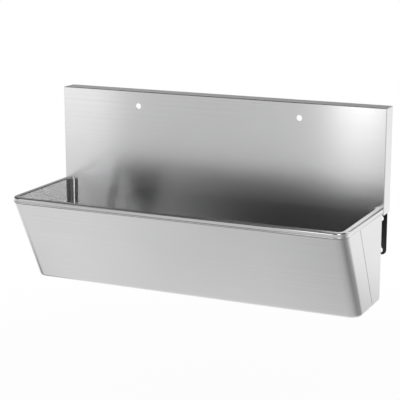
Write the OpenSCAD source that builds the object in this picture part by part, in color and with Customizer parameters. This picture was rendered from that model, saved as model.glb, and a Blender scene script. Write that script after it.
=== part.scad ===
// Wall-hung surgical scrub sink for two people, in 1.5 mm stainless sheet.
// X runs along the sink, Y runs back into the wall, Z is up.
// The origin lies on the wall, midway between the four wall bolts.

/* [Overall] */
// Length over the ends of the rim
length = 1400; // [1200:10:1900]
// From the wall to the front edge of the rim
depth = 520; // [500:5:600]
// Thickness of the stainless sheet
sheet = 1.5; // [1.2:0.1:2]
// Height of the rim's lower edge above the middle of the wall bolts
rim_z = 101; // [95:1:130]

/* [Splashback] */
// Height of the splashback above the rim's lower edge
splash_h = 404; // [380:1:500]
// Depth of the hollow splashback
splash_d = 77; // [74:1:100]
// How far its side returns hang below the rim's lower edge
return_drop = 8; // [4:1:20]
// Width of the flanges that lie on the wall
wall_flange = 15; // [10:1:30]
// Diameter of a tap hole
tap_hole_d = 24; // [18:0.5:34]
// Distance between the two tap holes
tap_pitch = 700; // [600:10:800]
// Height of the tap holes above the rim's lower edge
tap_h = 344; // [250:1:350]
// Side of the square plate that backs a tap hole
tap_plate_w = 90; // [60:5:100]
// Thickness of that plate
tap_plate_t = 3; // [2:0.5:4]

/* [Splashback stiffeners] */
// Width of a stiffener channel
stiffener_w = 40; // [30:1:60]
// Depth of a stiffener channel
stiffener_d = 25; // [15:1:40]
// Distance from the end of the sink to the middle of an outer stiffener
stiffener_in = 160; // [140:5:200]
// Space left above and below a stiffener
stiffener_gap = 30; // [20:1:50]

/* [Sound pads] */
// Width of a sound pad
pad_w = 180; // [100:5:200]
// Height of a sound pad
pad_h = 220; // [100:5:240]
// Thickness of a sound pad
pad_t = 3; // [2:0.5:5]
// Distance of a pad's middle from the middle of the sink
pad_x = 155; // [140:1:170]

/* [Rim] */
// Width of the rim, from its outer edge to the bowl's wall
rim_w = 28; // [24:0.5:32]
// Height of the rim
rim_h = 20.5; // [19:0.5:26]
// Height of the hem along its outer edge
rim_lip = 5; // [4:0.5:8]
// How far the hem stands out from the band above it
hem_out = 1.5; // [1:0.5:2]
// Distance from the rim's outer edge to its flat top
crest_in = 7.5; // [7:0.5:8]
// Radius of the rim's turn down into the bowl
roll_r = 4; // [3:0.5:6]
// Outer corner radius of the rim, seen from above
rim_corner_r = 50; // [45:1:60]

/* [Bowl] */
// Depth of the bowl at its ends, below the rim's lower edge
bowl_depth = 275; // [220:1:280]
// Fall of the floor from the ends to the waste
floor_fall = 12; // [6:1:16]
// Corner radius at the back of the bowl
back_r = 30; // [15:1:35]
// Radius of the flat of the floor around the waste
sump_r = 60; // [56:1:80]
// Outer radius of the pressing that is welded into that flat
weld_r = 56; // [52:0.5:56]
// Radius of the recess in the pressing, which the waste sits in
recess_r = 46; // [45:0.5:50]
// Depth of that recess
recess_d = 6; // [6:0.5:8]

/* [Apron] */
// Height of the apron and the end panels below the rim's lower edge
apron_h = 348; // [335:1:400]
// Distance from the wall to the apron's lower front edge
apron_foot = 336; // [320:1:350]
// How far the apron stands back from the rim's front edge
apron_in = 3; // [2.5:0.5:4]
// How far the end panels stand in from the rim's ends
end_in = 4; // [4:0.5:5]
// Corner radius of the apron
apron_r = 42; // [36:1:50]
// Radius of an end panel's corner between its back and its foot
panel_r = 16; // [10:1:25]
// Distance from the apron's front back to the seam on its ends
seam_back = 165; // [140:1:180]
// Width of the open seam
seam_gap = 1.2; // [0.8:0.1:2]
// Gap between the rim's lower edge and the apron's top edge
apron_gap = 2; // [1:0.5:4]
// Width of the flange along the apron's foot
foot_flange = 25; // [22:1:30]
// Width of the strip on which the apron's ends close
strip_w = 40; // [32:1:45]
// Clearance between the apron and what it closes against
slip = 0.3; // [0.3:0.1:0.5]

/* [Wall brackets] */
// Distance from the end of the sink to the nearest wall bolts
bolt_in = 33; // [33:1:50]
// Distance between the upper and the lower wall bolts
bolt_rise = 126; // [110:1:140]
// Width of a bracket's wall plate
bracket_w = 50; // [46:1:52]
// Thickness of a bracket
bracket_t = 4; // [3:0.5:5]
// Distance of the plate's ends from the nearest wall bolt
bracket_end = 18; // [16:1:22]
// How far the plate runs on above the upper keyhole
bracket_top = 28; // [24:1:29]
// Diameter of a keyhole's round mouth
key_d = 22; // [18:0.5:24]
// Width of a keyhole's slot
key_slot_w = 10; // [8:0.5:12]
// Height of a keyhole's slot above the middle of its mouth
key_slot_h = 15; // [12:1:18]

/* [Rear rail] */
// Height of the rail behind the bowl
rail_h = 60; // [56:1:70]
// Depth of the rail
rail_d = 22; // [20:1:26]
// Thickness of the rail
rail_t = 2.5; // [2:0.5:3]
// Distance from the rim's lower edge down to the rail
rail_drop = 35; // [30:1:45]
// Distance between the two bolts of a bracket
bracket_pitch = 34; // [30:1:36]

/* [Waste] */
// Radius of the waste's threaded tail, outside the thread
tail_r = 23.9; // [20:0.1:24.5]
// Radius of the way through the waste
waste_bore_r = 20.5; // [17:0.1:21]
// Length of the tail below the waste's flange
tail_l = 66; // [62:1:75]
// Radius of the waste's flange
flange_r = 43; // [42:0.5:44]
// Thickness of the waste's flange at its edge
flange_t = 4.5; // [4.5:0.1:5]
// Thickness of the ledge that carries the strainer
ledge_t = 1.5; // [1.5:0.1:2]
// Thickness of the gasket under the flange
gasket_t = 1.5; // [1:0.1:1.5]
// Thickness of the rubber seal under the bowl
seal_t = 3; // [2:0.5:4]
// Thickness of the slip washer
slip_washer_t = 2; // [1.5:0.5:2.5]
// Height of the back nut
backnut_h = 9; // [8:0.5:10]

/* [Strainer] */
// Radius of the strainer
strainer_r = 36; // [34:0.5:37]
// Thickness of the strainer
strainer_t = 2; // [1.5:0.1:2.3]
// Diameter of a strainer hole
strainer_hole_d = 5; // [3:0.5:5.5]
// Distance between the rings of holes
strainer_ring = 9; // [8:0.5:9]

/* [Earth stud] */
// Distance from the left end wall of the bowl to the earth stud
earth_in = 165; // [100:5:250]
// Distance from the rear rail down to the earth stud
earth_drop = 40; // [20:5:80]
// Length of the earth stud
earth_l = 20; // [18:1:25]

/* [Hidden] */
$fn = 64;

steel = "#c9cccf";
inner_steel = "#b4b8bc";
black_paint = "#2b2d2f";
zinc = "#9aa0a6";
rubber = "#33363a";
white_plastic = "#e4e4e0";
brass = "#b99a4b";

// A margin for cuts that have to run clear through
cut = 2;
// A length that is longer than any piece
far = 2 * length;

// The splashback
splash_y = -splash_d;
splash_back_y = splash_y + sheet;
splash_top = rim_z + splash_h;
tap_z = rim_z + tap_h;
tap_plate_gap = 1;
stiffener_x = length / 2 - stiffener_in;

// The bowl, as the inner faces of its walls
wall_x = length / 2 - rim_w;
front_y = -(depth - rim_w);
front_r = rim_corner_r - rim_w;
floor_z = rim_z - bowl_depth;
sump_z = floor_z - floor_fall;

// The apron leans back from the rim to its foot
apron_x = length / 2 - end_in;
apron_top_y = -(depth - apron_in);
lean = atan((depth - apron_in - apron_foot) / apron_h);
apron_z = rim_z - apron_h;
apron_top_z = rim_z - apron_gap;

// The front wall of the bowl leans with the apron
floor_front_y = front_y + (front_r + (bowl_depth - front_r) * sin(lean)) / cos(lean);
waste_y = (floor_front_y + splash_y - back_r) / 2;
bowl_lip = 1;

function apron_y(z) = apron_top_y + (rim_z - z) * tan(lean);
function bowl_face_y(z) = front_y - sheet + (rim_z - bowl_lip - z) * tan(lean);

// The rim's flat top ends in an arc out to its band and in a smaller one in to the bowl's wall
crest_r = crest_in - hem_out;
roll_x = rim_w - roll_r;

// The end panels reach up into the hollow of the rim, to just under its outer arc
panel_gap = 0.2;
panel_rise = rim_h - crest_r + sqrt(pow(crest_r - sheet, 2) - pow(crest_in - end_in, 2)) - panel_gap;
panel_top = rim_z + panel_rise;
panel_flange = apron_x - wall_x + 2 * back_r;

// The strip and the tab that the apron's ends close on
strip_x = apron_x - sheet - slip;
tab_z = apron_z + sheet + slip;
tab_t = 2;
tab_w = 34;
screw_in = 15;
screw_x = apron_x - screw_in;
screw_y = apron_y(apron_z) + seam_back - strip_w / 2;
screw_r = 3;
screw_hole_r = 3.4;
screw_head_r = 6;
screw_head_h = 3.5;
screw_nut_w = 10;
screw_nut_h = 5;
screw_tip = 3;

// The ledge under the rim that carries the apron, its tip just behind the apron's sheet
hang_flange = 4;
hang_end = 10;
hang_x = apron_x - apron_r - hang_end;
hang_z = apron_top_z - sheet - slip;
hang_leg = 20;
hang_gap = 0.6;

// The wall brackets and the rail
bolt_x = length / 2 - bolt_in;
bracket_low = -bolt_rise / 2 - bracket_end;
bracket_high = bolt_rise / 2 + bracket_top;
bracket_in_x = bolt_x - bracket_w / 2;
rail_top = rim_z - rail_drop;
rail_mid = rail_top - rail_h / 2;
rail_face_y = splash_back_y + rail_d;
rail_x = bracket_in_x + bracket_t;
m8_r = 4;
m8_hole_r = 4.5;
m8_across = 13;
m8_head_h = 5.3;
m8_nut_h = 6.5;
m8_washer_r = 8;
m8_washer_t = 1.6;
m8_length = 25;
bracket_bolt_x = rail_x - bracket_w / 2;
thread_gap = 0.1;

// The waste, stacked down from the flat of the floor
recess_floor = sump_z - recess_d;
flange_z = recess_floor + gasket_t;
under_z = recess_floor - sheet;
seal_z = under_z - seal_t;
slip_washer_z = seal_z - slip_washer_t;
backnut_z = slip_washer_z - backnut_h;
tail_z = flange_z - tail_l;
thread_depth = 0.5;
neck_r = tail_r - thread_depth;
neck_below = 1;
thread_top = backnut_z - neck_below;
tail_clear = 1.1;
waste_hole_r = tail_r + tail_clear;
seal_r = 36;
backnut_across = 60;
seat_clear = 0.5;
seat_r = strainer_r + seat_clear;
strainer_z = flange_z + ledge_t + slip;

// The earth stud
earth_x = earth_in - wall_x;
earth_z = rail_top - rail_h - earth_drop;
earth_r = 3;
earth_nut_across = 10;
earth_nut_h = 5;
earth_nut_gap = 2;

// Turns a side outline, drawn as [y, z], into a plate that is t thick from x on
module side_plate(x, t) {
    translate([x, 0, 0]) rotate([90, 0, 90]) linear_extrude(t) children();
}

// Draws its children once on each side
module both_sides() {
    children();
    mirror([1, 0, 0]) children();
}

// A box from one corner to the opposite one
module box(a, b) {
    translate(a) cube(b - a);
}

// A round bar along Y, from y to y + l
module bar_y(x, y, z, r, l) {
    translate([x, y + l, z]) rotate([90, 0, 0]) cylinder(r = r, h = l);
}

// A hexagonal bar along Y, by its width across flats
module hex_y(x, y, z, across, l) {
    translate([x, y + l, z]) rotate([90, 0, 0]) cylinder(d = across / cos(30), h = l, $fn = 6);
}

// The bowl's form, grown by t: a top outline, four floor corners and the flat around the waste
module bowl_form(t, rise) {
    lip_z = rim_z - bowl_lip;
    hull() {
        both_sides() {
            translate([wall_x - front_r, front_y + front_r, lip_z])
                cylinder(r = front_r + t, h = bowl_lip + rise, $fn = 48);
            translate([wall_x - back_r, splash_y - back_r, lip_z])
                cylinder(r = back_r + t, h = bowl_lip + rise, $fn = 32);
            translate([wall_x - front_r, floor_front_y, floor_z + front_r])
                sphere(r = front_r + t, $fn = 32);
            translate([wall_x - back_r, splash_y - back_r, floor_z + back_r])
                sphere(r = back_r + t, $fn = 32);
        }
        translate([0, waste_y, sump_z - t]) cylinder(r = sump_r, h = bowl_lip + t, $fn = 48);
    }
}

module bowl() color(inner_steel) {
    difference() {
        bowl_form(sheet, 0);
        bowl_form(0, cut);
        translate([0, waste_y, sump_z - sheet - cut]) cylinder(r = weld_r, h = sheet + 2 * cut);
    }
}

// The pressing welded into the floor: a flat ring with a recess for the waste
module waste_recess() color(inner_steel) {
    waste_ring(weld_r, recess_r, sump_z - sheet, sheet);
    waste_ring(recess_r + sheet, recess_r, under_z, recess_d + sheet);
    waste_ring(recess_r + sheet, waste_hole_r, under_z, sheet);
}

// The solid outline of the rolled part of the rim, taken in by t; x runs inwards and y runs up
module rim_outline(t) {
    intersection() {
        translate([crest_in, rim_h - crest_r]) circle(crest_r - t);
        translate([hem_out, rim_h - crest_r]) square(crest_r);
    }
    translate([hem_out + t, -t]) square([crest_r - t, rim_h - crest_r + t]);
    intersection() {
        translate([roll_x, rim_h - roll_r]) circle(roll_r - t);
        translate([roll_x, rim_h - roll_r]) square(roll_r);
    }
    translate([roll_x, -t]) square([roll_r - t, rim_h - roll_r + t]);
    translate([crest_in, -t]) square([roll_x - crest_in, rim_h]);
}

module rim_section() {
    difference() {
        rim_outline(0);
        rim_outline(sheet);
    }
    square([hem_out + sheet, rim_lip]);
}

// A quarter of a turn of the rim's section
module rim_corner() {
    rotate_extrude(angle = 90, $fn = 96)
        translate([rim_corner_r, 0]) mirror([1, 0]) rim_section();
}

module rim() color(steel) {
    run_x = length - 2 * rim_corner_r;
    run_y = depth - splash_d - rim_corner_r;
    corner_x = length / 2 - rim_corner_r;
    corner_y = rim_corner_r - depth;
    translate([-run_x / 2, -depth, rim_z]) rotate([90, 0, 90]) linear_extrude(run_x) rim_section();
    translate([corner_x, corner_y, rim_z]) rotate([0, 0, 270]) rim_corner();
    translate([-corner_x, corner_y, rim_z]) rotate([0, 0, 180]) rim_corner();
    both_sides() {
        translate([-length / 2, splash_y, rim_z]) rotate([90, 0, 0]) linear_extrude(run_y) rim_section();
        rim_back_corner();
    }
}

// A plate and a curved wall that carry the rim round to the splashback on the bowl's own corner radius
module rim_back_corner() {
    x = wall_x - back_r;
    y = splash_y - back_r;
    difference() {
        box([x, y, rim_z], [wall_x + roll_r, splash_y, rim_z + rim_h]);
        translate([x, y, rim_z - cut]) cylinder(r = back_r, h = rim_h + 2 * cut);
        difference() {
            box([x - cut, y - cut, rim_z - cut], [wall_x + roll_r + cut, splash_y + cut, rim_z + rim_h - sheet]);
            translate([x, y, rim_z - 2 * cut]) cylinder(r = back_r + sheet, h = rim_h + 4 * cut);
        }
    }
}

module splashback() color(steel) {
    half = length / 2;
    difference() {
        union() {
            box([-half, splash_y, rim_z], [half, splash_back_y, splash_top]);
            box([-half, splash_y, splash_top - sheet], [half, 0, splash_top]);
            box([-half, -sheet, splash_top - wall_flange], [half, 0, splash_top]);
            both_sides() {
                box([half - sheet, splash_y, rim_z - return_drop], [half, 0, splash_top]);
                box([half - wall_flange, -sheet, rim_z - return_drop], [half, 0, splash_top]);
            }
        }
        both_sides() bar_y(tap_pitch / 2, splash_y - cut, tap_z, tap_hole_d / 2, sheet + 2 * cut);
    }
}

// One upright channel, open towards the splashback
module stiffener(x) {
    low = rim_z + stiffener_gap;
    high = splash_top - stiffener_gap;
    difference() {
        box([x - stiffener_w / 2, splash_back_y, low], [x + stiffener_w / 2, splash_back_y + stiffener_d, high]);
        box([x - stiffener_w / 2 + sheet, splash_back_y - cut, low - cut],
            [x + stiffener_w / 2 - sheet, splash_back_y + stiffener_d - sheet, high + cut]);
    }
}

module splash_stiffeners() color(inner_steel) {
    for (i = [-1:1]) stiffener(i * stiffener_x);
}

module tap_plates() color(zinc) {
    both_sides() difference() {
        box([tap_pitch / 2 - tap_plate_w / 2, splash_back_y, tap_z - tap_plate_w / 2],
            [tap_pitch / 2 + tap_plate_w / 2, splash_back_y + tap_plate_t,
                min(tap_z + tap_plate_w / 2, splash_top - sheet - tap_plate_gap)]);
        bar_y(tap_pitch / 2, splash_back_y - cut, tap_z, tap_hole_d / 2, tap_plate_t + 2 * cut);
    }
}

module sound_pads() color(rubber) {
    pad_z = rim_z + stiffener_gap;
    both_sides() {
        box([pad_x - pad_w / 2, splash_back_y, pad_z], [pad_x + pad_w / 2, splash_back_y + pad_t, pad_z + pad_h]);
    }
}

// The end panel on the right, with its flanges, its strip and its tab
module end_panel() {
    foot_y = apron_y(apron_z) + seam_back + seam_gap;
    top_y = apron_y(panel_top) + seam_back + seam_gap;
    back_y = splash_back_y + sheet;
    corner_z = apron_z + panel_r;
    side_plate(apron_x - sheet, sheet) {
        polygon([[top_y, panel_top], [splash_y, panel_top], [splash_y, rim_z], [back_y, rim_z],
            [back_y, corner_z], [back_y - panel_r, corner_z], [back_y - panel_r, apron_z], [foot_y, apron_z]]);
        translate([back_y - panel_r, corner_z]) circle(panel_r);
    }
    // The flange behind the bowl, below the rail
    box([apron_x - panel_flange, splash_back_y, corner_z], [apron_x, back_y, rail_top - rail_h - sheet]);
    // The flange along the foot
    box([apron_x - foot_flange, foot_y, apron_z], [apron_x, back_y - panel_r, apron_z + sheet]);
    closing_strip();
    closing_tab();
}

// The strip lies inside the apron's end and is joined to the panel behind the seam
module closing_strip() {
    top = apron_top_z - sheet;
    strip_in = strip_w / cos(lean);
    low_y = apron_y(tab_z) + seam_back;
    high_y = apron_y(top) + seam_back;
    side_plate(strip_x - sheet, sheet)
        polygon([[high_y - strip_in, top], [high_y + strip_w, top],
            [low_y + strip_w, tab_z], [low_y - strip_in, tab_z]]);
    side_plate(strip_x - sheet, sheet + slip)
        polygon([[high_y + 2 * seam_gap, top], [high_y + strip_w, top],
            [low_y + strip_w, tab_z], [low_y + 2 * seam_gap, tab_z]]);
}

// The tab over the apron's foot flange, with a slot that is open to the front for the screw
module closing_tab() {
    front = screw_y - strip_w / 2;
    difference() {
        box([strip_x - tab_w, front, tab_z], [strip_x, screw_y + strip_w / 2, tab_z + tab_t]);
        box([screw_x - screw_hole_r, front - cut, tab_z - cut], [screw_x + screw_hole_r, screw_y, tab_z + tab_t + cut]);
        translate([screw_x, screw_y, tab_z - cut]) cylinder(r = screw_hole_r, h = tab_t + 2 * cut);
    }
}

module right_end_panel() color(steel) end_panel();

module left_end_panel() color(steel) mirror([1, 0, 0]) end_panel();

// The apron's outline across its lean, taken in by t; x runs along the sink and y runs back
module apron_outline(t) {
    back = seam_back * cos(lean);
    half = apron_x - t;
    r = apron_r - t;
    translate([-half + r, t]) square([2 * (half - r), back - t]);
    translate([-half, apron_r]) square([2 * half, back - apron_r]);
    translate([-half + r, apron_r]) circle(r);
    translate([half - r, apron_r]) circle(r);
}

// Carries an outline down the lean, between two levels
module leaning(low, high) {
    run = apron_h / cos(lean) + depth;
    intersection() {
        translate([0, apron_top_y, rim_z]) rotate([lean, 0, 0])
            translate([0, 0, -run]) linear_extrude(run + depth) children();
        box([-far, -far, low], [far, far, high]);
    }
}

module apron() color(steel) {
    back = seam_back * cos(lean);
    difference() {
        leaning(apron_z, apron_top_z) apron_outline(0);
        leaning(apron_z - cut, apron_top_z + cut) {
            apron_outline(sheet);
            translate([-apron_x + sheet, apron_r]) square([2 * (apron_x - sheet), back]);
        }
    }
    // The flange along the foot, with a hole for each screw
    difference() {
        leaning(apron_z, apron_z + sheet) apron_outline(0);
        leaning(apron_z - cut, apron_z + sheet + cut) {
            apron_outline(foot_flange);
            translate([-apron_x + foot_flange, apron_r]) square([2 * (apron_x - foot_flange), back]);
        }
        both_sides() translate([screw_x, screw_y, apron_z - cut])
            cylinder(r = screw_hole_r, h = sheet + 2 * cut);
    }
    // The flange that hangs on the ledge under the rim
    low_y = apron_y(apron_top_z - sheet);
    high_y = apron_y(apron_top_z);
    inner = sheet / cos(lean);
    side_plate(-hang_x, 2 * hang_x)
        polygon([[high_y + inner / 2, apron_top_z], [high_y + inner + hang_flange, apron_top_z],
            [high_y + inner + hang_flange, apron_top_z - sheet], [low_y + inner / 2, apron_top_z - sheet]]);
}

module apron_rail() color(zinc) {
    thick = sheet / cos(lean);
    tip = apron_y(hang_z - sheet) + thick + hang_gap;
    foot = hang_z - hang_leg;
    side_plate(-hang_x, 2 * hang_x)
        polygon([[bowl_face_y(hang_z), hang_z], [tip, hang_z], [tip, hang_z - sheet],
            [bowl_face_y(hang_z - sheet) - thick, hang_z - sheet],
            [bowl_face_y(foot) - thick, foot], [bowl_face_y(foot), foot]]);
}

module apron_screws() color(zinc) {
    both_sides() translate([screw_x, screw_y, apron_z - screw_head_h]) {
        cylinder(r = screw_head_r, h = screw_head_h);
        cylinder(r = screw_r, h = screw_head_h + sheet + tab_t + screw_nut_h + screw_tip);
    }
}

module apron_nuts() color(zinc) {
    nut_z = tab_z + tab_t + slip;
    both_sides() difference() {
        box([screw_x - screw_nut_w / 2, screw_y - screw_nut_w / 2, nut_z],
            [screw_x + screw_nut_w / 2, screw_y + screw_nut_w / 2, nut_z + screw_nut_h]);
        translate([screw_x, screw_y, nut_z - cut]) cylinder(r = screw_r + thread_gap, h = screw_nut_h + 2 * cut);
    }
}

// Runs its children at the four places where the brackets bolt to the rail
module at_bracket_bolts() {
    both_sides() for (side = [-1, 1]) translate([bracket_bolt_x, 0, rail_mid + side * bracket_pitch / 2]) children();
}

module rear_rail() color(inner_steel) {
    difference() {
        box([-rail_x, splash_back_y, rail_top - rail_h], [rail_x, rail_face_y, rail_top]);
        box([-rail_x - cut, splash_back_y - cut, rail_top - rail_h + rail_t],
            [rail_x + cut, rail_face_y - rail_t, rail_top - rail_t]);
        at_bracket_bolts() bar_y(0, rail_face_y - rail_t - cut, 0, m8_hole_r, rail_t + 2 * cut);
    }
}

// A keyhole through the wall plate: a round mouth with a slot above it
module keyhole(z) {
    y = -bracket_t - cut;
    l = bracket_t + 2 * cut;
    top = z + key_slot_h;
    bar_y(bolt_x, y, z, key_d / 2, l);
    bar_y(bolt_x, y, top, key_slot_w / 2, l);
    box([bolt_x - key_slot_w / 2, y, z], [bolt_x + key_slot_w / 2, y + l, top]);
}

// The wall plate, with its lower corners rounded
module wall_plate() {
    out_x = bolt_x + bracket_w / 2;
    r = bracket_end;
    box([bracket_in_x, -bracket_t, bracket_low + r], [out_x, 0, bracket_high]);
    box([bracket_in_x, -bracket_t, bracket_low], [out_x - r, 0, bracket_low + r]);
    bar_y(out_x - r, -bracket_t, bracket_low + r, r, bracket_t);
}

// The bracket on the right: a wall plate, a web that reaches forward and a flange on the rail
module wall_bracket() {
    web_low = rail_top - rail_h;
    difference() {
        union() {
            difference() {
                wall_plate();
                keyhole(-bolt_rise / 2);
                keyhole(bolt_rise / 2);
            }
            side_plate(bracket_in_x, bracket_t)
                polygon([[0, bracket_low], [0, bracket_high], [rail_face_y, rail_top], [rail_face_y, web_low]]);
            box([rail_x - bracket_w, rail_face_y, web_low], [rail_x, rail_face_y + bracket_t, rail_top]);
        }
        for (side = [-1, 1]) bar_y(bracket_bolt_x, rail_face_y - cut, rail_mid + side * bracket_pitch / 2,
            m8_hole_r, bracket_t + 2 * cut);
    }
}

module right_wall_bracket() color(black_paint) wall_bracket();

module left_wall_bracket() color(black_paint) mirror([1, 0, 0]) wall_bracket();

module bracket_bolts() color(zinc) {
    head_y = rail_face_y + bracket_t + m8_washer_t;
    at_bracket_bolts() {
        hex_y(0, head_y, 0, m8_across, m8_head_h);
        bar_y(0, head_y - m8_length, 0, m8_r, m8_length);
    }
}

module bracket_washers() color(zinc) {
    washer_y = rail_face_y + bracket_t;
    at_bracket_bolts() difference() {
        bar_y(0, washer_y, 0, m8_washer_r, m8_washer_t);
        bar_y(0, washer_y - cut, 0, m8_hole_r, m8_washer_t + 2 * cut);
    }
}

module bracket_nuts() color(zinc) {
    nut_y = rail_face_y - rail_t - m8_nut_h;
    at_bracket_bolts() difference() {
        hex_y(0, nut_y, 0, m8_across, m8_nut_h);
        bar_y(0, nut_y - cut, 0, m8_r + thread_gap, m8_nut_h + 2 * cut);
    }
}

// A flat ring around the waste, from z up
module waste_ring(r_out, r_in, z, h) {
    translate([0, waste_y, z]) difference() {
        cylinder(r = r_out, h = h);
        translate([0, 0, -cut]) cylinder(r = r_in, h = h + 2 * cut);
    }
}

module waste_flange() color(steel) {
    waste_ring(flange_r, seat_r, flange_z, flange_t);
    waste_ring(flange_r, waste_bore_r, flange_z, ledge_t);
    waste_ring(neck_r, waste_bore_r, thread_top, flange_z + ledge_t - thread_top);
    waste_ring(tail_r, waste_bore_r, tail_z, thread_top - tail_z);
}

module waste_gasket() color(rubber) waste_ring(flange_r, waste_hole_r, recess_floor, gasket_t);

module waste_seal() color(rubber) waste_ring(seal_r, waste_hole_r, seal_z, seal_t);

module waste_slip_washer() color(white_plastic)
    waste_ring(seal_r, waste_hole_r, slip_washer_z, slip_washer_t);

module waste_backnut() color(brass) {
    translate([0, waste_y, backnut_z]) difference() {
        cylinder(d = backnut_across / cos(30), h = backnut_h, $fn = 6);
        translate([0, 0, -cut]) cylinder(r = neck_r + thread_gap, h = backnut_h + 2 * cut);
    }
}

module strainer() color(steel) {
    rings = floor((strainer_r - strainer_hole_d) / strainer_ring);
    translate([0, waste_y, strainer_z]) difference() {
        cylinder(r = strainer_r, h = strainer_t);
        translate([0, 0, -cut]) cylinder(d = 2 * strainer_hole_d, h = strainer_t + 2 * cut);
        for (ring = [1:rings], i = [1:6 * ring]) rotate([0, 0, i * 60 / ring])
            translate([ring * strainer_ring, 0, -cut]) cylinder(d = strainer_hole_d, h = strainer_t + 2 * cut, $fn = 24);
    }
}

module earth_stud() color(zinc) bar_y(earth_x, splash_back_y, earth_z, earth_r, earth_l);

module earth_nuts() color(brass) {
    first_y = splash_back_y + earth_nut_gap;
    for (i = [0:1]) difference() {
        hex_y(earth_x, first_y + i * (earth_nut_h + earth_nut_gap), earth_z, earth_nut_across, earth_nut_h);
        bar_y(earth_x, splash_back_y - cut, earth_z, earth_r + thread_gap, earth_l + 2 * cut);
    }
}

bowl();
waste_recess();
rim();
splashback();
splash_stiffeners();
tap_plates();
sound_pads();
left_end_panel();
right_end_panel();
apron();
apron_rail();
apron_screws();
apron_nuts();
rear_rail();
left_wall_bracket();
right_wall_bracket();
bracket_bolts();
bracket_washers();
bracket_nuts();
waste_flange();
waste_gasket();
waste_seal();
waste_slip_washer();
waste_backnut();
strainer();
earth_stud();
earth_nuts();
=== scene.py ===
"""Dresses the surgical scrub sink: smooth sheet steel pieces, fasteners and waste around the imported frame."""
from math import asin, atan, cos, degrees, pi, radians, sin, tan

import bmesh
import bpy
from bmesh.types import BMEdge, BMFace, BMVert
from mathutils import Matrix, Vector

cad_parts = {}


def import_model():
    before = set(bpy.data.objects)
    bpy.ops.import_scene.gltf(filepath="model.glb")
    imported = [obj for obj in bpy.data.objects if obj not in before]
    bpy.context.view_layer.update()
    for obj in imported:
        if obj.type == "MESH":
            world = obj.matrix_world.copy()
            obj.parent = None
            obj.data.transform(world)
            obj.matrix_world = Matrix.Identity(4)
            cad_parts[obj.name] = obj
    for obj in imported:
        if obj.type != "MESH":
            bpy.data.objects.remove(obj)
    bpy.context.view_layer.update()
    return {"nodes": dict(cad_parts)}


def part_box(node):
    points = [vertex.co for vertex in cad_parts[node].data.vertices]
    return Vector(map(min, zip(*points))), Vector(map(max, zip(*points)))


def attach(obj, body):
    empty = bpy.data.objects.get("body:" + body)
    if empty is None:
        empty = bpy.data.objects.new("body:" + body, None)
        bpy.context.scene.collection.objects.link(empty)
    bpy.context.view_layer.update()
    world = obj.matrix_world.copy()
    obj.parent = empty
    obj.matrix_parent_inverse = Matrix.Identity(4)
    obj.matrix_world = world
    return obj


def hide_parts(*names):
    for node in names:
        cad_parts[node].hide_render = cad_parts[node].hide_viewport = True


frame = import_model()
scene = bpy.context.scene

# Sizes that the frame gives, in metres
rim_low, rim_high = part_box("rim")
splash_low, splash_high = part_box("splashback")
apron_low, apron_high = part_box("apron")
panel_low, panel_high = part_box("right_end_panel")
flange_low, flange_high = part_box("waste_flange")
END_X = rim_high.x
RIM_FRONT = rim_low.y
SPLASH_Y = rim_high.y
RIM_Z = rim_low.z
RIM_TOP = rim_high.z
RETURN_Z = splash_low.z
SPLASH_TOP = splash_high.z
APRON_X = apron_high.x
APRON_Z = apron_low.z
APRON_TOP = apron_high.z
WASTE_Y = (flange_low.y + flange_high.y) / 2

# Sizes of the sheet and its folds
SHEET = 0.0015
FOLD_R = 0.003
EDGE_R = 0.0003
WALL_FLANGE = 0.015

# The tap holes, and the length of what cuts them
TAP_R = 0.012
TAP_X = 0.35
TAP_RISE = 0.344
TAP_Z = RIM_Z + TAP_RISE
HOLE_CUT = 0.02

# The apron leans back from under the rim to its foot
APRON_IN = 0.003
APRON_TOP_Y = RIM_FRONT + APRON_IN
APRON_FOOT_Y = -0.336
LEAN = atan((APRON_FOOT_Y - APRON_TOP_Y) / (RIM_Z - APRON_Z))
APRON_R = 0.042
FOOT_R = 0.014
FOOT_STEPS = 6
FOOT_FLANGE = 0.025
PANEL_R = 0.016
SEAM_BACK = 0.165
SEAM_GAP = 0.0035
SLIP = 0.0003
# The flange along the apron's top, and how far it stops from the round corners
HANG_REACH = 0.004
HANG_END = 0.010
# The strip behind the seam, and its tab
STRIP_W = 0.040
TAB_W = 0.034

# The rim's section
RIM_W = 0.028
RIM_LIP = 0.005
HEM_OUT = 0.0015
CREST_IN = 0.0075
ROLL_R = 0.004
RIM_CORNER_R = 0.050
CREST_R = CREST_IN - HEM_OUT
HEM_R = ((RIM_LIP / 2) ** 2 + HEM_OUT ** 2) / (2 * HEM_OUT)
# Steps round the section's arcs, round the rim's front corners and round the bowl's back corners
HEM_STEPS, CREST_STEPS, ROLL_STEPS = 10, 8, 12
FRONT_STEPS, BACK_STEPS = 32, 24

# The bowl, as the inner faces of its walls
WALL_X = END_X - RIM_W
ROLL_X = WALL_X + ROLL_R
FRONT_WALL_Y = RIM_FRONT + RIM_W
FRONT_R = RIM_CORNER_R - RIM_W
BACK_R = 0.030
# Where the bowl's back corners begin to turn
TURN_Y = SPLASH_Y - BACK_R
BOWL_DEPTH = 0.275
FLOOR_FALL = 0.012
KINK_R = 0.006
FLOOR_Z = RIM_Z - BOWL_DEPTH
FLOOR_FRONT_Y = FRONT_WALL_Y + (FRONT_R + (BOWL_DEPTH - FRONT_R) * sin(LEAN)) / cos(LEAN)
SUMP_Z = FLOOR_Z - FLOOR_FALL
SUMP_R = 0.060
RECESS_R = 0.046
WELD_R = 0.056
RECESS_D = 0.006
WASTE_HOLE_R = 0.025
WASTE_STEPS = 96
# The waste's flange, and the ledge in it that carries the strainer
FLANGE_H = 0.0045
LEDGE_H = 0.0015
FLANGE_Z = flange_high.z - FLANGE_H

# Points closer than NEAR to a plane lie on it, and points closer than MERGE are one
NEAR = 1e-5
MERGE = 1e-6

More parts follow.
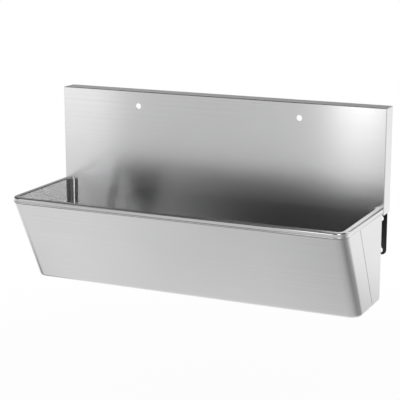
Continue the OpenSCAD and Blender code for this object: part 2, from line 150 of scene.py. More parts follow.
UP = Vector((0, 0, 1))
DOWN = Vector((0, 0, -1))
BACKWARD = Vector((0, 1, 0))
FORWARD = Vector((0, -1, 0))
RIGHT = Vector((1, 0, 0))
LEFT = Vector((-1, 0, 0))
# Moves a shape that stands on the rim's level at the apron's front into its lean
LEANING = Matrix.Translation((0, APRON_TOP_Y, RIM_Z)) @ Matrix(
    ((1, 0, 0, 0), (0, 1, -tan(LEAN), 0), (0, 0, 1, 0), (0, 0, 0, 1)))
ACROSS_LEAN = Vector((0, cos(LEAN), sin(LEAN)))


# Materials

# Scales of the grain along and across the sheet, and the clouds' share in its colour
FINE_GRAIN = (2, 900, 1)
LONG_MARKS = (0.3, 170, 1)
CLOUD_SHARE = 0.35
# How much the roughness varies on steel and on other finishes, and the depth of the fine relief
STEEL_SPREAD = 0.03
PLAIN_SPREAD = 0.06
RELIEF_DEPTH = 0.0002

# Colour, roughness, strength of the grain's relief, and anisotropy
STEELS = {
    "satin_steel": ((0.77, 0.77, 0.773), 0.2, 0.03, 0.8),
    "rim_steel": ((0.75, 0.75, 0.753), 0.1, 0.02, 0.0),
    "bowl_steel": ((0.74, 0.74, 0.742), 0.19, 0.03, 0.8),
    "mill_steel": ((0.52, 0.525, 0.53), 0.42, 0.1, 0.2),
    "bright_steel": ((0.6, 0.61, 0.62), 0.3, 0.05, 0.0),
    "polished_steel": ((0.7, 0.7, 0.71), 0.14, 0.02, 0.0),
}
# Colour and how much it varies, roughness, metal or not, and the relief's scale and strength
PLAIN_FINISHES = {
    "black_paint": ((0.03, 0.031, 0.033), 0.1, 0.42, 0.0, 900.0, 0.25),
    "sound_felt": ((0.05, 0.05, 0.054), 0.3, 0.9, 0.0, 500.0, 0.8),
    "black_rubber": ((0.035, 0.035, 0.037), 0.1, 0.7, 0.0, 400.0, 0.2),
    "white_plastic": ((0.8, 0.8, 0.78), 0.03, 0.5, 0.0, 200.0, 0.1),
    "nut_brass": ((0.72, 0.55, 0.25), 0.1, 0.28, 1.0, 700.0, 0.08),
}


def add_node(tree, kind, **values):
    """Adds a node, and sets its properties and inputs by name."""
    node = tree.nodes.new(kind)
    for key, value in values.items():
        if hasattr(node, key):
            setattr(node, key, value)
        else:
            node.inputs[key.replace("_", " ")].default_value = value
    return node


def soft_step(tree, value, low, high, at_low, at_high):
    """Goes softly from one level to another while the value goes from low to high."""
    step = add_node(tree, "ShaderNodeMapRange", interpolation_type="SMOOTHSTEP",
                    From_Min=low, From_Max=high, To_Min=at_low, To_Max=at_high)
    tree.links.new(value, step.inputs["Value"])
    return step.outputs["Result"]


def combined(tree, operation, first, second):
    """Adds or multiplies two values, or takes the larger one."""
    both = add_node(tree, "ShaderNodeMath", operation=operation)
    tree.links.new(first, both.inputs[0])
    tree.links.new(second, both.inputs[1])
    return both.outputs["Value"]


def scaled(tree, value, factor):
    """Multiplies a value by a plain number."""
    product = add_node(tree, "ShaderNodeMath", operation="MULTIPLY")
    product.inputs[1].default_value = factor
    tree.links.new(value, product.inputs[0])
    return product.outputs["Value"]


def grain_noise(tree, stretch, detail, roughness):
    """Noise that is drawn out along the sheet's own map."""
    sheet_map = add_node(tree, "ShaderNodeUVMap", uv_map="grain")
    drawn_out = add_node(tree, "ShaderNodeMapping")
    drawn_out.inputs["Scale"].default_value = stretch
    tree.links.new(sheet_map.outputs["UV"], drawn_out.inputs["Vector"])
    noise = add_node(tree, "ShaderNodeTexNoise", Scale=1.0, Detail=detail, Roughness=roughness)
    tree.links.new(drawn_out.outputs["Vector"], noise.inputs["Vector"])
    return noise.outputs["Fac"]


def space_noise(tree, scale, detail):
    """Noise that fills the space and stays with the piece."""
    place = add_node(tree, "ShaderNodeTexCoord")
    noise = add_node(tree, "ShaderNodeTexNoise", Scale=scale, Detail=detail)
    tree.links.new(place.outputs["Object"], noise.inputs["Vector"])
    return noise.outputs["Fac"]


def vary_color(tree, shader, share, color, darker, lighter):
    """Lets the surface go between a darker and a lighter tone of its colour."""
    shade = add_node(tree, "ShaderNodeMix", data_type="RGBA")
    for socket, level in (("A", darker), ("B", lighter)):
        shade.inputs[socket].default_value = (*[min(1, c * level) for c in color], 1)
    tree.links.new(share, shade.inputs["Factor"])
    tree.links.new(shade.outputs["Result"], shader.inputs["Base Color"])


def vary_roughness(tree, shader, share, middle, spread):
    """Lets the roughness go a little below and above its middle."""
    rough = add_node(tree, "ShaderNodeMapRange", To_Min=middle - spread, To_Max=middle + spread)
    tree.links.new(share, rough.inputs["Value"])
    tree.links.new(rough.outputs["Result"], shader.inputs["Roughness"])


def raise_relief(tree, shader, height, strength):
    """Gives the surface a fine relief."""
    bump = add_node(tree, "ShaderNodeBump", Strength=strength, Distance=RELIEF_DEPTH)
    tree.links.new(height, bump.inputs["Height"])
    tree.links.new(bump.outputs["Normal"], shader.inputs["Normal"])


def node_material(name):
    """A node material with its tree and its shader."""
    material = bpy.data.materials.new(name)
    material.use_nodes = True
    tree = material.node_tree
    return material, tree, tree.nodes["Principled BSDF"]


def brushed_steel(name, color, roughness, grain, anisotropy):
    """Sheet steel with a fine grain along its own map, soft cloudy colour and a few longer marks."""
    material, tree, shader = node_material(name)
    shader.inputs["Metallic"].default_value = 1
    shader.inputs["Anisotropic"].default_value = anisotropy
    # The grain spreads a highlight across itself, so the stretch is turned by a quarter
    shader.inputs["Anisotropic Rotation"].default_value = 0.25
    tangent = add_node(tree, "ShaderNodeTangent", direction_type="UV_MAP", uv_map="grain")
    tree.links.new(tangent.outputs["Tangent"], shader.inputs["Tangent"])
    fine = grain_noise(tree, FINE_GRAIN, detail=3.0, roughness=0.6)
    marks = grain_noise(tree, LONG_MARKS, detail=2.0, roughness=0.5)
    clouds = space_noise(tree, scale=3.0, detail=2.0)
    tone = combined(tree, "ADD", scaled(tree, clouds, CLOUD_SHARE), scaled(tree, marks, 1 - CLOUD_SHARE))
    vary_color(tree, shader, tone, color, darker=0.9, lighter=1.08)
    vary_roughness(tree, shader, fine, roughness, STEEL_SPREAD)
    raise_relief(tree, shader, fine, grain)
    return material


def plain_finish(name, color, spread, roughness, metallic, grit, relief):
    """Paint, rubber, plastic or a plain turned metal: cloudy colour and roughness, and a fine relief."""
    material, tree, shader = node_material(name)
    shader.inputs["Metallic"].default_value = metallic
    clouds = space_noise(tree, scale=25.0, detail=3.0)
    vary_color(tree, shader, clouds, color, 1 - spread, 1 + spread)
    vary_roughness(tree, shader, clouds, roughness, PLAIN_SPREAD)
    raise_relief(tree, shader, space_noise(tree, grit, detail=2.0), relief)
    return material


FINISHES = {name: brushed_steel(name, *look) for name, look in STEELS.items()}
FINISHES.update({name: plain_finish(name, *look) for name, look in PLAIN_FINISHES.items()})


# Mesh helpers

# How closely the normal of a face that looks along a direction agrees with it
ALONG = 0.999
# How much of the normal of a face that lies square to an axis is along that axis
SQUARE = 0.7


def only(kind, geometry):
    """The vertices, edges or faces among mixed geometry."""
    return [item for item in geometry if isinstance(item, kind)]


def add_box(bm, low, high):
    """A box from one corner to the opposite one."""
    low, high = Vector(low), Vector(high)
    place = Matrix.Translation((low + high) / 2) @ Matrix.Diagonal((*(high - low), 1))
    bmesh.ops.create_cube(bm, size=1, matrix=place)
    bm.normal_update()


def faces_at(bm, test):
    """The faces whose middle passes the test."""
    return [f for f in bm.faces if test(f.calc_center_median())]


def facing(bm, direction, test=lambda middle: True):
    """The faces that look along a direction, and whose middle passes the test."""
    return [f for f in faces_at(bm, test) if f.normal.dot(direction) > ALONG]


def edges_at(edges, test):
    """The edges whose ends both pass the test."""
    return [e for e in edges if all(test(v.co) for v in e.verts)]


def open_edges(bm):
    """The edges along the sheet's outline."""
    return [e for e in bm.edges if len(e.link_faces) == 1]


def remove_faces(bm, faces):
    bmesh.ops.delete(bm, geom=faces, context="FACES")


def cut(bm, point, normal, away=False, faces=None):
    """Cuts the faces along a plane, and takes away what lies on the side that normal points to."""
    chosen = list(bm.faces) if faces is None else faces
    edges = {e for f in chosen for e in f.edges}
    verts = {v for f in chosen for v in f.verts}
    bmesh.ops.bisect_plane(bm, geom=[*verts, *edges, *chosen], dist=MERGE, plane_co=point, plane_no=normal,
                           clear_outer=away)
    bm.normal_update()


def round_edges(bm, edges, radius, segments=4):
    bmesh.ops.bevel(bm, geom=edges, offset=radius, offset_type="OFFSET", segments=segments, profile=0.5,
                    affect="EDGES", material=-1)
    bm.normal_update()


def folds(bm, least=40):
    """The edges between two faces that meet at more than a given angle."""
    inner = [e for e in bm.edges if len(e.link_faces) == 2]
    return [e for e in inner if degrees(e.calc_face_angle(0)) > least]


def extrude_edges(bm, edges, step):
    """Draws edges out along a step, and returns the edges at its end."""
    made = bmesh.ops.extrude_edge_only(bm, edges=edges)["geom"]
    verts = only(BMVert, made)
    bmesh.ops.translate(bm, vec=step, verts=verts)
    return [e for f in only(BMFace, made) for e in f.edges if set(e.verts) <= set(verts)]


def turn_edges(bm, edges, centre, angle, steps):
    """Sweeps edges round an upright line, and returns the edges at the end of the sweep."""
    verts = list({v for e in edges for v in e.verts})
    made = bmesh.ops.spin(bm, geom=[*verts, *edges], cent=centre, axis=UP, angle=angle, steps=steps)
    return only(BMEdge, made["geom_last"])


def turn_vertex(bm, vert, centre, angle, steps):
    """Draws an upright arc from a vertex, and returns the vertex at its end."""
    made = bmesh.ops.spin(bm, geom=[vert], cent=centre, axis=FORWARD, angle=angle, steps=steps)
    return only(BMVert, made["geom_last"])[0]


def lathe(bm, profile):
    """Turns a closed profile of radius and height pairs round the waste's upright line."""
    centre = Vector((0, WASTE_Y, 0))
    verts = [bm.verts.new(centre + Vector((r, 0, z))) for r, z in profile]
    edges = [bm.edges.new(pair) for pair in zip(verts, verts[1:] + verts[:1])]
    bmesh.ops.spin(bm, geom=[*verts, *edges], cent=centre, axis=UP, angle=2 * pi, steps=WASTE_STEPS,
                   use_merge=True)
    bmesh.ops.remove_doubles(bm, verts=bm.verts, dist=MERGE)
    bmesh.ops.recalc_face_normals(bm, faces=bm.faces)


def mirrored(bm):
    """Mirrors the whole shape to the other side of the sink."""
    bmesh.ops.scale(bm, vec=(-1, 1, 1), verts=bm.verts)
    bmesh.ops.reverse_faces(bm, faces=bm.faces)
    bm.normal_update()


def lay_map(bm):
    """A map in metres for each face, with its first axis level and along the sheet's grain."""
    layer = bm.loops.layers.uv.new("grain")
    for face in bm.faces:
        n = face.normal
        for loop in face.loops:
            x, y, z = loop.vert.co
            if abs(n.x) > SQUARE:
                loop[layer].uv = (y, z)
            elif abs(n.z) > SQUARE:
                loop[layer].uv = (x, y)
            else:
                loop[layer].uv = (x, z)


def settle(piece, body, slot, nodes, crease=30, finish=None):
    """Shades the piece smooth between creases, maps it, gives it its finish or else its slot's, puts it on its
    body, and hides the nodes it replaces.
    """
    bm = bmesh.new()
    bm.from_mesh(piece.data)
    bm.normal_update()
    for face in bm.faces:
        face.smooth = True
    for edge in bm.edges:
        edge.smooth = len(edge.link_faces) != 2 or degrees(edge.calc_face_angle(0)) < crease
    lay_map(bm)
    bm.to_mesh(piece.data)
    bm.free()
    weighted = piece.modifiers.new("even shading", "WEIGHTED_NORMAL")
    weighted.keep_sharp = True
    piece.data.materials.clear()
    piece.data.materials.append(FINISHES[finish or slot])
    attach(piece, body)
    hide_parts(*nodes)


def piece_from(name, bm):
    mesh = bpy.data.meshes.new(name)
    bm.to_mesh(mesh)
    bm.free()
    piece = bpy.data.objects.new(name, mesh)
    scene.collection.objects.link(piece)
    return piece


def apply_modifiers(piece):
    bpy.context.view_layer.update()
    shaped = piece.evaluated_get(bpy.context.evaluated_depsgraph_get())
    mesh = bpy.data.meshes.new_from_object(shaped)
    piece.modifiers.clear()
    piece.data = mesh


def thicken(piece, edge=EDGE_R):
    """Gives an outer skin the sheet's thickness on its inner side, and eases the cut edges."""
    wall = piece.modifiers.new("sheet", "SOLIDIFY")
    wall.thickness = SHEET
    wall.offset = -1
    wall.use_even_offset = True
    if edge:
        eased = piece.modifiers.new("eased edges", "BEVEL")
        eased.width = edge
        eased.segments = 2
        eased.limit_method = "ANGLE"
        eased.angle_limit = radians(60)
    apply_modifiers(piece)


def drill(piece, cutter_bm):
    """Takes the cutter's shape out of the piece."""
    cutter = piece_from("cutter", cutter_bm)
    hole = piece.modifiers.new("hole", "BOOLEAN")
    hole.operation = "DIFFERENCE"
    hole.solver = "EXACT"
    hole.object = cutter
    apply_modifiers(piece)
    bpy.data.objects.remove(cutter)


# The splashback, the rim and the bowl

def splashback():
    bm = bmesh.new()
    add_box(bm, (-END_X, SPLASH_Y, RETURN_Z - WALL_FLANGE), (END_X, 0, SPLASH_TOP))
    remove_faces(bm, facing(bm, DOWN))
    back = facing(bm, BACKWARD)
    bmesh.ops.inset_region(bm, faces=back, thickness=WALL_FLANGE, use_even_offset=True, use_boundary=True)
    remove_faces(bm, back)
    bm.normal_update()
    cut(bm, (0, 0, RETURN_Z), DOWN, away=True)
    round_edges(bm, folds(bm), FOLD_R)
    cut(bm, (0, 0, RIM_Z), DOWN, faces=facing(bm, FORWARD))
    remove_faces(bm, facing(bm, FORWARD, lambda middle: middle.z < RIM_Z))
    piece = piece_from("splashback_sheet", bm)
    thicken(piece, edge=0)
    holes = bmesh.new()
    for x in (-TAP_X, TAP_X):
        place = Matrix.Translation((x, SPLASH_Y, TAP_Z)) @ Matrix.Rotation(pi / 2, 4, "X")
        bmesh.ops.create_cone(holes, cap_ends=True, segments=64, radius1=TAP_R, radius2=TAP_R, depth=HOLE_CUT,
                              matrix=place)
    drill(piece, holes)
    settle(piece, "sink", "satin_steel", ["splashback"])


def rim():
    bm = bmesh.new()
    band_x = END_X - HEM_OUT
    crest_x = END_X - CREST_IN
    # The hem is a low bead along the foot of the band
    hem_turn = 2 * asin(RIM_LIP / 2 / HEM_R)
    hem_foot = bm.verts.new((band_x, TURN_Y, RIM_Z))
    hem_centre = (END_X - HEM_R, TURN_Y, RIM_Z + RIM_LIP / 2)
    hem_top = turn_vertex(bm, hem_foot, hem_centre, hem_turn, HEM_STEPS)
    band_top = bm.verts.new((band_x, TURN_Y, RIM_TOP - CREST_R))
    bm.edges.new((hem_top, band_top))
    crest = turn_vertex(bm, band_top, (crest_x, TURN_Y, RIM_TOP - CREST_R), pi / 2, CREST_STEPS)
    ledge = bm.verts.new((ROLL_X, TURN_Y, RIM_TOP))
    bm.edges.new((crest, ledge))
    outer = list(bm.edges)
    turn_vertex(bm, ledge, (ROLL_X, TURN_Y, RIM_TOP - ROLL_R), pi / 2, ROLL_STEPS)
    roll = [e for e in bm.edges if e not in outer]
    # Round the bowl's back corner on the right, forward, round the front, and back to the left corner
    side_run = FRONT_WALL_Y + FRONT_R - TURN_Y
    front_run = 2 * (END_X - RIM_CORNER_R)
    corner = Vector((END_X - RIM_CORNER_R, RIM_FRONT + RIM_CORNER_R, 0))
    back_corner = Vector((WALL_X - BACK_R, TURN_Y, 0))
    extrude_edges(bm, outer, (0, BACK_R, 0))
    turn_edges(bm, roll, back_corner, pi / 2, BACK_STEPS)
    line = extrude_edges(bm, outer + roll, (0, side_run, 0))
    line = turn_edges(bm, line, corner, -pi / 2, FRONT_STEPS)
    line = extrude_edges(bm, line, (-front_run, 0, 0))
    corner.x = -corner.x
    line = turn_edges(bm, line, corner, -pi / 2, FRONT_STEPS)
    line = extrude_edges(bm, line, (0, -side_run, 0))
    outer = edges_at(line, lambda point: abs(point.x) > ROLL_X - NEAR)
    roll = [e for e in line if e not in outer]
    back_corner.x = -back_corner.x
    extrude_edges(bm, outer, (0, BACK_R, 0))
    turn_edges(bm, roll, back_corner, -pi / 2, BACK_STEPS)
    bmesh.ops.remove_doubles(bm, verts=bm.verts, dist=MERGE)
    bm.normal_update()
    cut(bm, (0, SPLASH_Y, 0), BACKWARD, away=True)
    fill_ears(bm)
    bmesh.ops.recalc_face_normals(bm, faces=bm.faces)
    top = max(bm.faces, key=lambda f: f.calc_center_median().z)
    if top.normal.z < 0:
        bmesh.ops.reverse_faces(bm, faces=bm.faces)
    bm.normal_update()
    piece = piece_from("rolled_rim", bm)
    thicken(piece)
    settle(piece, "sink", "satin_steel", ["rim"], crease=25, finish="rim_steel")


def fill_ears(bm):
    """Closes the small flat between the roll, which turns with the bowl's corner, and the flat top."""
    flat = edges_at(open_edges(bm), lambda point: point.z > RIM_TOP - NEAR and point.y > TURN_Y - NEAR)
    flat = [e for e in flat if any(v.co.y < SPLASH_Y - NEAR for v in e.verts)]
    for side in (-1, 1):
        line = edges_at(flat, lambda point: point.x * side > 0)
        ends = [v for v in {v for e in line for v in e.verts} if abs(v.co.y - SPLASH_Y) < NEAR]
        line.append(bm.edges.new(ends))
        bmesh.ops.contextual_create(bm, geom=line)


def bowl():
    bm = bmesh.new()
    top = RIM_TOP - ROLL_R
    for side in (-1, 1):
        for top_y, floor_y, r in ((FRONT_WALL_Y + FRONT_R, FLOOR_FRONT_Y, FRONT_R), (TURN_Y, TURN_Y, BACK_R)):
            x = side * (WALL_X - r)
            post = Matrix.Translation((x, top_y, (top + RIM_Z) / 2))
            bmesh.ops.create_cone(bm, cap_ends=True, segments=64, radius1=r, radius2=r, depth=top - RIM_Z,
                                  matrix=post)
            bmesh.ops.create_uvsphere(bm, u_segments=64, v_segments=32, radius=r,
                                      matrix=Matrix.Translation((x, floor_y, FLOOR_Z + r)))
    sump = Matrix.Translation((0, WASTE_Y, SUMP_Z + SHEET / 2))
    bmesh.ops.create_cone(bm, cap_ends=True, segments=WASTE_STEPS, radius1=SUMP_R, radius2=SUMP_R,
                          depth=SHEET, matrix=sump)
    bmesh.ops.delete(bm, geom=[*bm.edges, *bm.faces], context="EDGES_FACES")
    made = bmesh.ops.convex_hull(bm, input=bm.verts)
    bmesh.ops.delete(bm, geom=only(BMVert, made["geom_interior"]), context="VERTS")
    bm.normal_update()
    bmesh.ops.dissolve_limit(bm, angle_limit=radians(0.3), verts=bm.verts, edges=bm.edges)
    bm.normal_update()
    remove_faces(bm, facing(bm, UP))
    # The kink between the upright top of the front wall and its lean
    round_edges(bm, edges_at(folds(bm, least=2), lambda point: abs(point.z - RIM_Z) < NEAR), KINK_R)
    # The round opening that the waste's pressing is welded into
    flat = min(bm.faces, key=lambda f: f.calc_center_median().z)
    bmesh.ops.inset_individual(bm, faces=[flat], thickness=SUMP_R - WELD_R)
    remove_faces(bm, [flat])
    cut(bm, (0, 0, RIM_Z), DOWN, faces=facing(bm, BACKWARD))
    remove_faces(bm, facing(bm, BACKWARD, lambda middle: middle.z > RIM_Z))
    bmesh.ops.reverse_faces(bm, faces=bm.faces)
    bm.normal_update()
    piece = piece_from("bowl_liner", bm)
    thicken(piece, edge=0)
    settle(piece, "sink", "bowl_steel", ["bowl"], crease=40)


def waste_recess():
    """The pressing in the floor, with soft bends into its recess."""
    top, low, bend = SUMP_Z, SUMP_Z - RECESS_D, 0.0012
    ease = bend * 0.3
    profile = [(WELD_R, top), (RECESS_R + bend, top), (RECESS_R + ease, top - ease), (RECESS_R, top - bend),
               (RECESS_R, low + bend), (RECESS_R - ease, low + ease), (RECESS_R - bend, low),
               (WASTE_HOLE_R, low), (WASTE_HOLE_R, low - SHEET), (RECESS_R, low - SHEET),
               (RECESS_R + SHEET, low), (RECESS_R + SHEET, top - SHEET), (WELD_R, top - SHEET)]
    bm = bmesh.new()
    lathe(bm, profile)
    settle(piece_from("recess_pressing", bm), "sink", "bowl_steel", ["waste_recess"])


# The apron and the end panels

def apron():
    bm = bmesh.new()
    add_box(bm, (-APRON_X, 0, APRON_Z - RIM_Z), (APRON_X, 2 * SEAM_BACK, APRON_TOP - RIM_Z))
    remove_faces(bm, facing(bm, UP) + facing(bm, BACKWARD))
    bmesh.ops.transform(bm, matrix=LEANING, verts=bm.verts)
    bm.normal_update()
    corners = [e for e in folds(bm) if abs(e.verts[0].co.z - e.verts[1].co.z) > NEAR]
    round_edges(bm, corners, APRON_R, 24)
    foot = facing(bm, DOWN)
    bmesh.ops.inset_region(bm, faces=foot, thickness=FOOT_FLANGE, use_even_offset=True, use_boundary=True)
    remove_faces(bm, foot)
    bm.normal_update()
    round_edges(bm, folds(bm), FOOT_R, FOOT_STEPS)
    cut(bm, (0, APRON_TOP_Y + SEAM_BACK, RIM_Z), ACROSS_LEAN, away=True)
    # The flange along the top that hangs on the ledge under the rim
    hang_x = APRON_X - APRON_R - HANG_END
    for side in (-1, 1):
        cut(bm, (side * hang_x, 0, 0), RIGHT)
    top_edges = edges_at(open_edges(bm), lambda point: point.z > APRON_TOP - NEAR)
    top_edges = edges_at(top_edges, lambda point: abs(point.x) < hang_x + NEAR)
    extrude_edges(bm, top_edges, (0, SHEET / cos(LEAN) + HANG_REACH, 0))
    bm.normal_update()
    round_edges(bm, edges_at(folds(bm), lambda point: point.z > APRON_TOP - NEAR), FOLD_R / 2, 3)
    piece = piece_from("front_apron", bm)
    thicken(piece)
    settle(piece, "apron", "satin_steel", ["apron"])


def end_panel(side, name, node):
    back_y = panel_high.y
    flange_in = APRON_X - panel_low.x
    rail_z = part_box("rear_rail")[0].z
    bm = bmesh.new()
    add_box(bm, (APRON_X - flange_in, RIM_FRONT, APRON_Z), (APRON_X, back_y, panel_high.z))
    remove_faces(bm, facing(bm, UP) + facing(bm, FORWARD) + facing(bm, LEFT))
    heel = edges_at(bm.edges, lambda point: point.y > back_y - NEAR and point.z < APRON_Z + NEAR)
    round_edges(bm, heel, PANEL_R, 10)
    heel_z = APRON_Z + PANEL_R
    foot_x = APRON_X - FOOT_FLANGE
    foot = [f for f in faces_at(bm, lambda middle: middle.z < heel_z) if abs(f.normal.x) < SQUARE]
    cut(bm, (foot_x, 0, 0), RIGHT, faces=foot)
    remove_faces(bm, faces_at(bm, lambda middle: middle.z < heel_z and middle.x < foot_x))
    cut(bm, (0, APRON_TOP_Y + SEAM_BACK + SEAM_GAP, RIM_Z), -ACROSS_LEAN, away=True)
    round_edges(bm, folds(bm), FOOT_R, FOOT_STEPS)
    # The rear flange ends below the rail, and the side stops at the splashback above the rim
    cut(bm, (0, 0, rail_z - SHEET), UP, faces=facing(bm, BACKWARD))
    remove_faces(bm, facing(bm, BACKWARD, lambda middle: middle.z > rail_z - SHEET))
    cut(bm, (0, 0, RIM_Z), UP)
    cut(bm, (0, SPLASH_Y, 0), BACKWARD)
    remove_faces(bm, faces_at(bm, lambda middle: middle.z > RIM_Z and middle.y > SPLASH_Y))
    if side < 0:
        mirrored(bm)
    piece = piece_from(name, bm)
    thicken(piece)
    settle(piece, "sink", "satin_steel", [node])


def closing_strip(side, name, node):
    """The strip behind the seam and the tab that the apron's screw clamps."""
    outer_x = APRON_X - SHEET - SLIP
    tab_z = APRON_Z + SHEET + SLIP
    top_z = APRON_TOP - SHEET
    bm = bmesh.new()
    low = (outer_x - TAB_W, SEAM_BACK - STRIP_W, tab_z - RIM_Z)
    high = (outer_x, SEAM_BACK + STRIP_W, top_z - RIM_Z)
    add_box(bm, low, high)
    remove_faces(bm, facing(bm, UP) + facing(bm, FORWARD) + facing(bm, BACKWARD) + facing(bm, LEFT))
    bmesh.ops.transform(bm, matrix=LEANING, verts=bm.verts)
    bm.normal_update()
    round_edges(bm, folds(bm), FOOT_R - SHEET - SLIP, FOOT_STEPS)
    if side < 0:
        mirrored(bm)
    piece = piece_from(name, bm)
    thicken(piece)
    settle(piece, "sink", "mill_steel", [node])


# The waste, and the small parts, which keep the frame's shape with eased edges

def eased_copy(name, node, body, slot, radius):
    """A copy of a node's shape with its flats joined and its edges eased."""
    bm = bmesh.new()
    bm.from_mesh(frame["nodes"][node].data)
    bmesh.ops.remove_doubles(bm, verts=bm.verts, dist=2 * MERGE)
    bmesh.ops.dissolve_limit(bm, angle_limit=radians(1), verts=bm.verts, edges=bm.edges)
    bm.normal_update()
    round_edges(bm, folds(bm, least=35), radius, 2)
    settle(piece_from(name, bm), body, slot, [node])


def waste():
    """The flange and its threaded tail in one turned piece."""
    ledge, top = FLANGE_Z + LEDGE_H, FLANGE_Z + FLANGE_H
    flange_r, lip_r, neck_r, thread_r, bore_r = 0.043, 0.0365, 0.0234, 0.0239, 0.0205
    lip_ease, brim_in, brim_down, foot_ease, bore_ease = 0.0008, 0.0012, 0.001, 0.0004, 0.0005
    thread_top, tail_z, pitch = -0.2085, flange_low.z, 0.0023
    threads = int((thread_top - tail_z) / pitch)
    profile = [(lip_r, top - lip_ease), (lip_r + lip_ease, top),
               (flange_r - brim_in, top), (flange_r, top - brim_down),
               (flange_r, FLANGE_Z + foot_ease), (flange_r - foot_ease, FLANGE_Z),
               (neck_r, FLANGE_Z), (neck_r, thread_top)]
    for i in range(threads):
        z = thread_top - i * pitch
        profile += [(thread_r, z - pitch * 0.3), (thread_r, z - pitch * 0.5), (neck_r, z - pitch * 0.9)]
    profile += [(neck_r, tail_z), (bore_r, tail_z), (bore_r, ledge - bore_ease), (bore_r + bore_ease, ledge),
                (lip_r, ledge)]
    bm = bmesh.new()
    lathe(bm, profile)
    settle(piece_from("waste_outlet", bm), "sink", "polished_steel", ["waste_flange"])


splashback()
rim()
bowl()
waste_recess()
apron()
end_panel(1, "right_end_sheet", "right_end_panel")
end_panel(-1, "left_end_sheet", "left_end_panel")
closing_strip(1, "right_closing_strip", "right_end_panel")
closing_strip(-1, "left_closing_strip", "left_end_panel")
waste()
for name, node, body, slot, radius in (
        ("right_bracket", "right_wall_bracket", "sink", "black_paint", 0.0005),
        ("left_bracket", "left_wall_bracket", "sink", "black_paint", 0.0005),
        ("stiffener_channels", "splash_stiffeners", "sink", "mill_steel", 0.0004),
        ("tap_backing_plates", "tap_plates", "sink", "mill_steel", 0.0004),
        ("felt_pads", "sound_pads", "sink", "sound_felt", 0.0008),
        ("apron_ledge", "apron_rail", "sink", "mill_steel", 0.0003),
        ("rear_channel", "rear_rail", "sink", "mill_steel", 0.0005),
        ("foot_screws", "apron_screws", "apron", "bright_steel", 0.0005),
        ("foot_nuts", "apron_nuts", "apron", "bright_steel", 0.0004),
        ("rail_bolts", "bracket_bolts", "sink", "bright_steel", 0.0004),
        ("rail_washers", "bracket_washers", "sink", "bright_steel", 0.0002),
        ("rail_nuts", "bracket_nuts", "sink", "bright_steel", 0.0004),
        ("flange_gasket", "waste_gasket", "sink", "black_rubber", 0.0003),
        ("under_seal", "waste_seal", "sink", "black_rubber", 0.0004),
        ("slip_ring", "waste_slip_washer", "sink", "white_plastic", 0.0003),
        ("back_nut", "waste_backnut", "sink", "nut_brass", 0.0006),
        ("strainer_plate", "strainer", "strainer", "polished_steel", 0.0003),
        ("bonding_stud", "earth_stud", "sink", "bright_steel", 0.0004),
        ("bonding_nuts", "earth_nuts", "sink", "nut_brass", 0.0004)):
    eased_copy(name, node, body, slot, radius)


# The studio

FLOOR_LEVEL = -0.85
FLOOR_HALF = 30
CLIP_END = 100
FLOOR_TONE = 0.9
# Painted pools of shade and light on the floor, which only the metal shows: middle, reach along X and Y, and
# level in the middle
PAINTED_LIGHT_POOLS = (
    ((-1.3, -0.1), (0.55, 0.6), 0.3),
    ((1.7, 0.3), (1.15, 2.4), 0.3),
    ((6.0, -1.0), (5.0, 4.0), 0.45),
    ((0.7, -0.9), (0.8, 0.8), 0.8),
    ((-1.3, -1.3), (1.3, 1.3), 1.3),
)


def direction_at(azimuth, height):
    """The direction at two angles, with azimuth 0 in front and plus to the right."""
    return Vector((sin(azimuth) * cos(height), -cos(azimuth) * cos(height), sin(height)))


def camera():
    """The photograph's view, as a place, three angles and a focal length in pixels of a 400 pixel frame."""
    place = Vector((2.1098, -4.75828, 1.27229))
    azimuth, pitch, roll = radians(24.992), radians(13.007), radians(-0.008)
    focal_px, frame_px = 1306.93, 400
    back = direction_at(azimuth, pitch)
    side = UP.cross(back).normalized()
    above = back.cross(side)
    turned = Matrix((side, above, back)).transposed() @ Matrix.Rotation(roll, 3, "Z")
    data = bpy.data.cameras.new("camera")
    data.sensor_width = 36
    data.lens = focal_px / frame_px * data.sensor_width
    view = bpy.data.objects.new("camera", data)
    view.matrix_world = Matrix.Translation(place) @ turned.to_4x4()
    data.clip_end = CLIP_END
    scene.collection.objects.link(view)
    scene.camera = view


def lamp(name, place, target, size, power):
    """A soft box that faces a point."""
    data = bpy.data.lights.new(name, "AREA")
    data.shape = "RECTANGLE"
    data.size, data.size_y = size
    data.energy = power
    light = bpy.data.objects.new(name, data)
    light.location = place
    light.rotation_euler = (Vector(target) - Vector(place)).to_track_quat("-Z", "Y").to_euler()
    scene.collection.objects.link(light)


def distance(tree, vector):
    """How far a point lies from the origin."""
    away = add_node(tree, "ShaderNodeVectorMath", operation="LENGTH")
    tree.links.new(vector, away.inputs[0])
    return away.outputs["Value"]


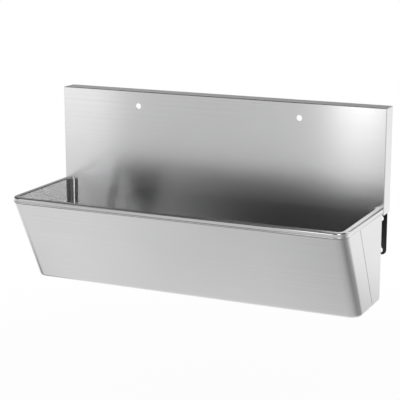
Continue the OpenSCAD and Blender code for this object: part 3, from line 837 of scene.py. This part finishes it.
def floor():
    """A wide white floor that keeps the object's shadow; in the metal it shows painted shade and pools of
    painted light.
    """
    bm = bmesh.new()
    place = Matrix.Translation((0, -1, FLOOR_LEVEL))
    bmesh.ops.create_grid(bm, x_segments=1, y_segments=1, size=FLOOR_HALF, matrix=place)
    piece = piece_from("studio_floor", bm)
    material, tree, shader = node_material("studio_floor")
    link = tree.links.new
    shader.inputs["Base Color"].default_value = (FLOOR_TONE, FLOOR_TONE, FLOOR_TONE, 1)
    shader.inputs["Roughness"].default_value = 0.9
    point = add_node(tree, "ShaderNodeTexCoord").outputs["Object"]
    rays = add_node(tree, "ShaderNodeLightPath").outputs
    # Painted shade: in front of the object the floor is a little greyer in the metal
    split = add_node(tree, "ShaderNodeSeparateXYZ")
    link(point, split.inputs["Vector"])
    tone = soft_step(tree, split.outputs["Y"], -1.1, 0.3, 0.64, 1.0)
    # Each pool darkens or lightens the floor in the metal with painted shade or painted light
    for middle, reach, level in PAINTED_LIGHT_POOLS:
        local = add_node(tree, "ShaderNodeMapping", vector_type="TEXTURE")
        local.inputs["Location"].default_value = (*middle, FLOOR_LEVEL)
        local.inputs["Scale"].default_value = (*reach, 1)
        link(point, local.inputs["Vector"])
        painted_pool = soft_step(tree, distance(tree, local.outputs["Vector"]), 0.25, 1.0, level, 1.0)
        tone = combined(tree, "MULTIPLY", tone, painted_pool)
    # Only glossy rays get the painted shade and light; all other rays see white
    plain = add_node(tree, "ShaderNodeMix", data_type="FLOAT")
    plain.inputs["A"].default_value = 1
    link(rays["Is Glossy Ray"], plain.inputs["Factor"])
    link(tone, plain.inputs["B"])
    white = add_node(tree, "ShaderNodeEmission")
    link(plain.outputs["Result"], white.inputs["Color"])
    # White to the camera and through glass, with the painted shade and light in metal, and a little less so in
    # the object's shadow
    seen = combined(tree, "MAXIMUM", rays["Is Camera Ray"], rays["Is Glossy Ray"])
    seen = combined(tree, "MAXIMUM", seen, rays["Is Transmission Ray"])
    share = combined(tree, "MULTIPLY", seen, soft_step(tree, distance(tree, point), 0.0, 3.0, 0.95, 1.0))
    mix = add_node(tree, "ShaderNodeMixShader")
    link(share, mix.inputs["Fac"])
    link(shader.outputs["BSDF"], mix.inputs[1])
    link(white.outputs["Emission"], mix.inputs[2])
    output = next(n for n in tree.nodes if n.type == "OUTPUT_MATERIAL")
    link(mix.outputs["Shader"], output.inputs["Surface"])
    piece.data.materials.append(material)


def world():
    """White at the horizon and dark above, so that the bowl takes its depth from a dark ceiling."""
    sky = bpy.data.worlds.new("studio")
    sky.use_nodes = True
    scene.world = sky
    tree = sky.node_tree
    look = add_node(tree, "ShaderNodeTexCoord").outputs["Generated"]
    split = add_node(tree, "ShaderNodeSeparateXYZ")
    tree.links.new(look, split.inputs["Vector"])
    upward = split.outputs["Z"]

    def round_patch(azimuth, height, outer, inner, around, middle):
        """A soft round patch of the sky: its place and two radii in degrees, and the two levels."""
        toward = add_node(tree, "ShaderNodeVectorMath", operation="DOT_PRODUCT")
        toward.inputs[1].default_value = direction_at(radians(azimuth), radians(height))
        tree.links.new(look, toward.inputs[0])
        edge, core = cos(radians(outer)), cos(radians(inner))
        return soft_step(tree, toward.outputs["Value"], edge, core, around, middle)

    dark_patch = round_patch(-20, 56, 52, 44, 1.0, 0.02)
    darker_upward = soft_step(tree, upward, 0.0, 0.34, 1.0, 0.05)
    # A soft glow on the left lights the bowl's left half, and the middle of the ceiling is light again
    left_glow = round_patch(-49, 38, 18, 6, 0.0, 0.25)
    overhead = soft_step(tree, upward, 0.86, 0.96, 0.0, 0.6)
    light = combined(tree, "MULTIPLY", dark_patch, darker_upward)
    for more in (left_glow, overhead):
        light = combined(tree, "ADD", light, more)
    tree.links.new(light, tree.nodes["Background"].inputs["Color"])


camera()
floor()
world()
for name, place, target, size, power in (
        ("right strip", (-0.85, -4.6, 0.75), (0, -0.1, 0.25), (0.4, 2.2), 5),
        ("left strip", (-3.1, -4.0, 0.3), (0, -0.1, 0.25), (0.9, 1.8), 3),
        ("back", (2.4, 3.2, 2.9), (0, -0.2, 0), (3.0, 3.0), 45),
        ("front right", (2.3, -2.8, 2.6), (0, -0.2, 0), (1.6, 1.6), 24),
        ("front left", (-2.7, -2.3, 2.7), (0, -0.2, 0), (1.6, 1.6), 5)):
    lamp(name, place, target, size, power)
scene.view_settings.view_transform = "Standard"
